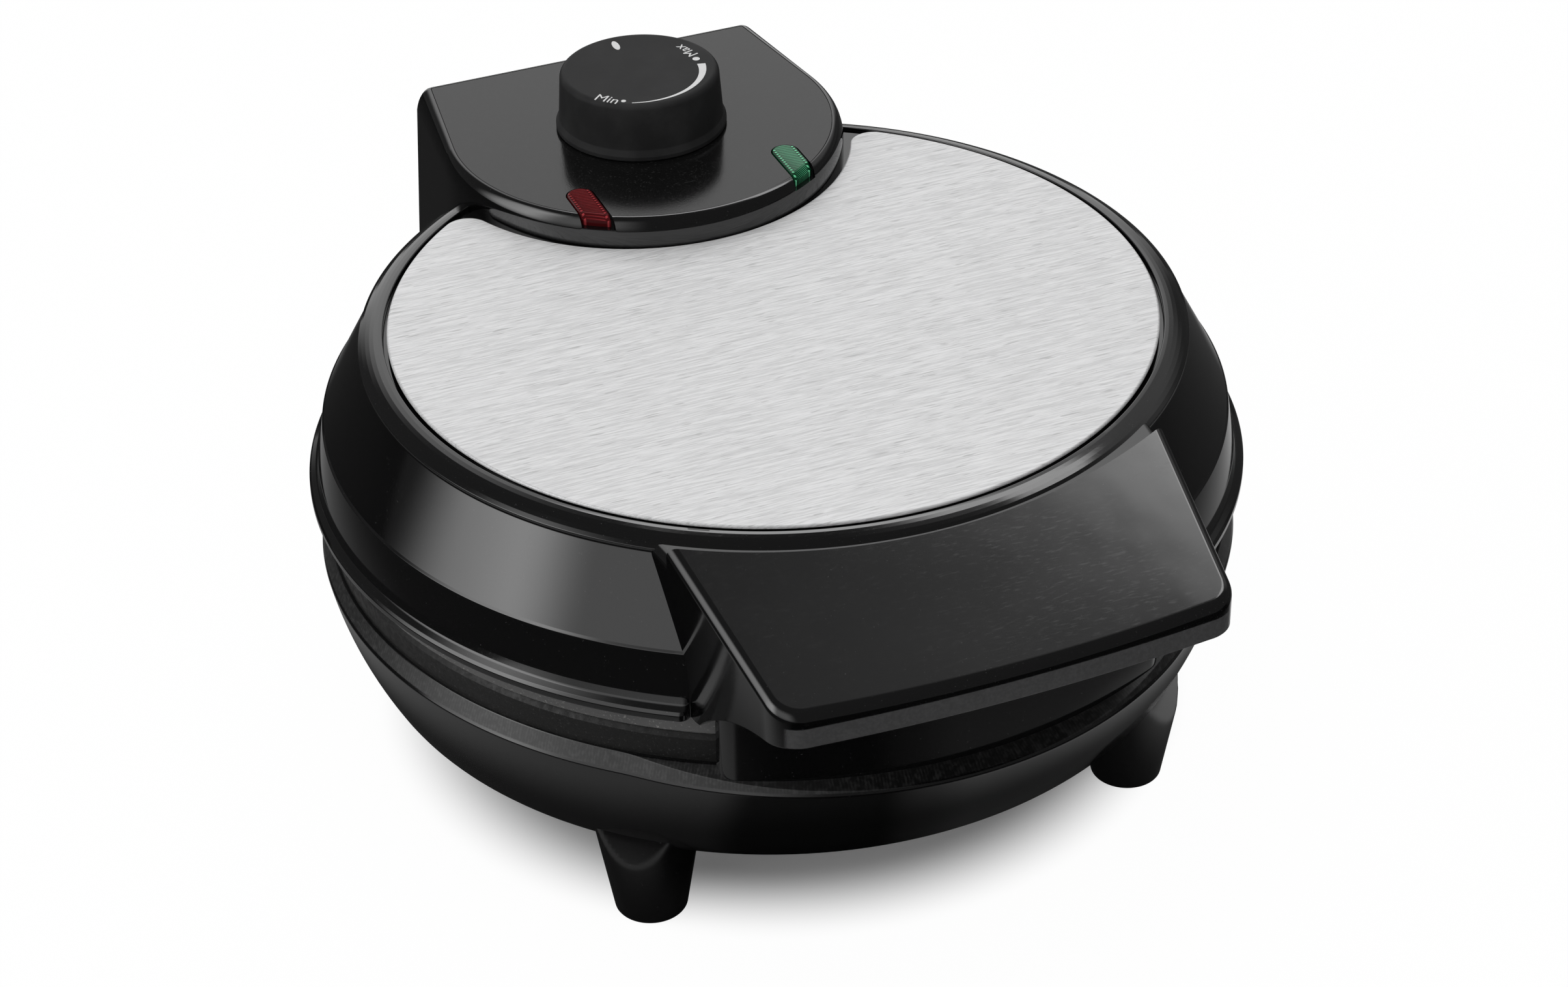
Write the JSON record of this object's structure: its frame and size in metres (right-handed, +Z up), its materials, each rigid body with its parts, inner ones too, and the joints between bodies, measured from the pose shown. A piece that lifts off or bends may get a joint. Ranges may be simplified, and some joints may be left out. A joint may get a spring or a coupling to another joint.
{
  "type": "waffle maker",
  "caption": "Round countertop heart waffle maker: hinged domed lid with a front handle, a steel top panel, and a rear control tower with a thermostat knob and indicator lenses.",
  "frame": {"origin": "on the table under the vertical axis of the baking plates, which is also the middle of the overall box", "axes": "+X to the right seen from the front, +Y towards the hinge and the control tower, +Z up"},
  "size_m": [0.2272, 0.2744, 0.131],
  "materials": {
    "gloss_black": "moulded, semi-gloss to glossy black",
    "matte_black": "finely spark-eroded matt black",
    "knob_black": "smooth satin black with white print",
    "brushed_steel": "straight-brushed stainless sheet",
    "cast_plate": "cast aluminium with a dark non-stick coat",
    "element_steel": "oxidised steel tube",
    "reflector_aluminium": "bright rolled aluminium sheet",
    "screw_steel": "zinc-plated steel",
    "brass": "turned brass",
    "rubber": "moulded black rubber",
    "red_lens": "clear red moulding",
    "green_lens": "clear green moulding",
    "lamp_glass": "clear lamp glass",
    "thermostat_plastic": "cream phenolic moulding",
    "terminal_ceramic": "white steatite"
  },
  "bodies": {
    "base": {"base_housing": "gloss_black", "foot_pads": "rubber", "lower_plate": "cast_plate", "lower_element": "element_steel", "lower_reflector": "reflector_aluminium", "lower_plate_screws": "screw_steel"},
    "lid": {"lid_housing": "gloss_black", "top_panel": "brushed_steel", "control_panel": "matte_black", "upper_plate": "cast_plate", "upper_element": "element_steel", "upper_reflector": "reflector_aluminium", "upper_plate_screws": "screw_steel", "rear_cover": "matte_black", "cover_screws": "screw_steel", "cord_gland": "rubber", "hinge_rod": "screw_steel", "red_lens": "red_lens", "green_lens": "green_lens", "neon_lamps": "lamp_glass", "lamp_holders": "matte_black", "thermostat_bracket": "reflector_aluminium", "bracket_screws": "screw_steel", "thermostat_body": "thermostat_plastic", "thermostat_bush": "brass", "terminal_block": "terminal_ceramic", "terminal_screws": "brass", "thermal_fuse": "element_steel", "fuse_clip": "screw_steel"},
    "knob": {"control_knob": "knob_black", "thermostat_shaft": "screw_steel"}
  },
  "joints": [
    {"name": "lid_hinge", "type": "hinge", "parent": "base", "child": "lid", "pos_m": [0, 0.119, 0.064], "axis": [-1, 0, 0], "range_deg": [0, 100]},
    {"name": "thermostat_turn", "type": "hinge", "parent": "lid", "child": "knob", "pos_m": [0, 0.0886, 0.1], "axis": [0, 0, 1], "range_deg": [-86, 176]}
  ]
}
